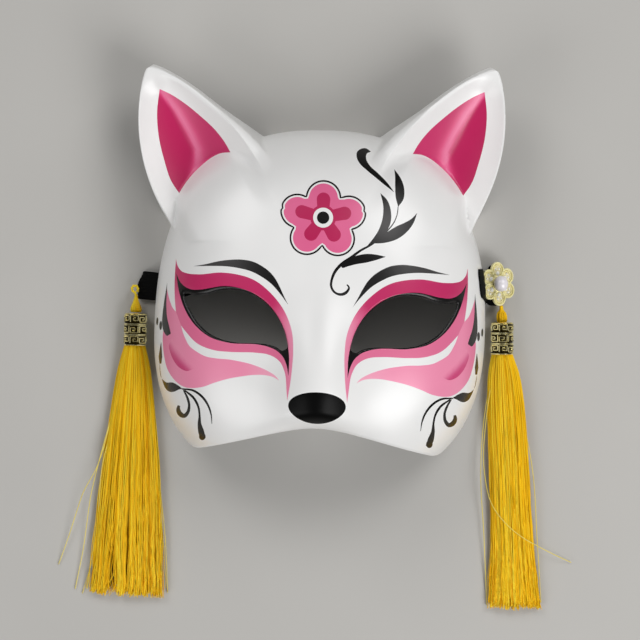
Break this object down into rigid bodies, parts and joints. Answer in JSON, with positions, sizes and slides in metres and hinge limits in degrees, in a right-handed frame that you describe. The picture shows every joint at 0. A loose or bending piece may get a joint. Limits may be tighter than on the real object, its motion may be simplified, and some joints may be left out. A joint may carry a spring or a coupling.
{
  "type": "cat half mask",
  "caption": "Moulded half-face mask of a cat with cupped ears, painted markings, open eyes, an elastic strap, silk tassels and a flower brooch, lying face up.",
  "frame": {"origin": "middle of the whole part's box, on the table it lies on", "axes": "+Z out of the mask's face, +Y from the lip to the ears, +X to the right as the mask is looked at"},
  "size_m": [0.227, 0.2666, 0.078],
  "materials": {
    "shell": "painted white and lacquered, with pink and black markings",
    "elastic": "woven elastic, matt",
    "silk": "twisted silky thread",
    "cap": "gilt, with dark hollows in the fret",
    "brooch": "pale gilt with clear stones",
    "pearl": "pearl lacquer"
  },
  "bodies": {
    "root": {"mask_shell": "shell", "elastic_strap": "elastic", "left_tassel_cord": "silk", "left_tassel_cap": "cap", "left_tassel_skirt": "silk", "right_tassel_cord": "silk", "right_tassel_cap": "cap", "right_tassel_skirt": "silk", "brooch_flower": "brooch", "brooch_pearl": "pearl"}
  },
  "joints": []
}
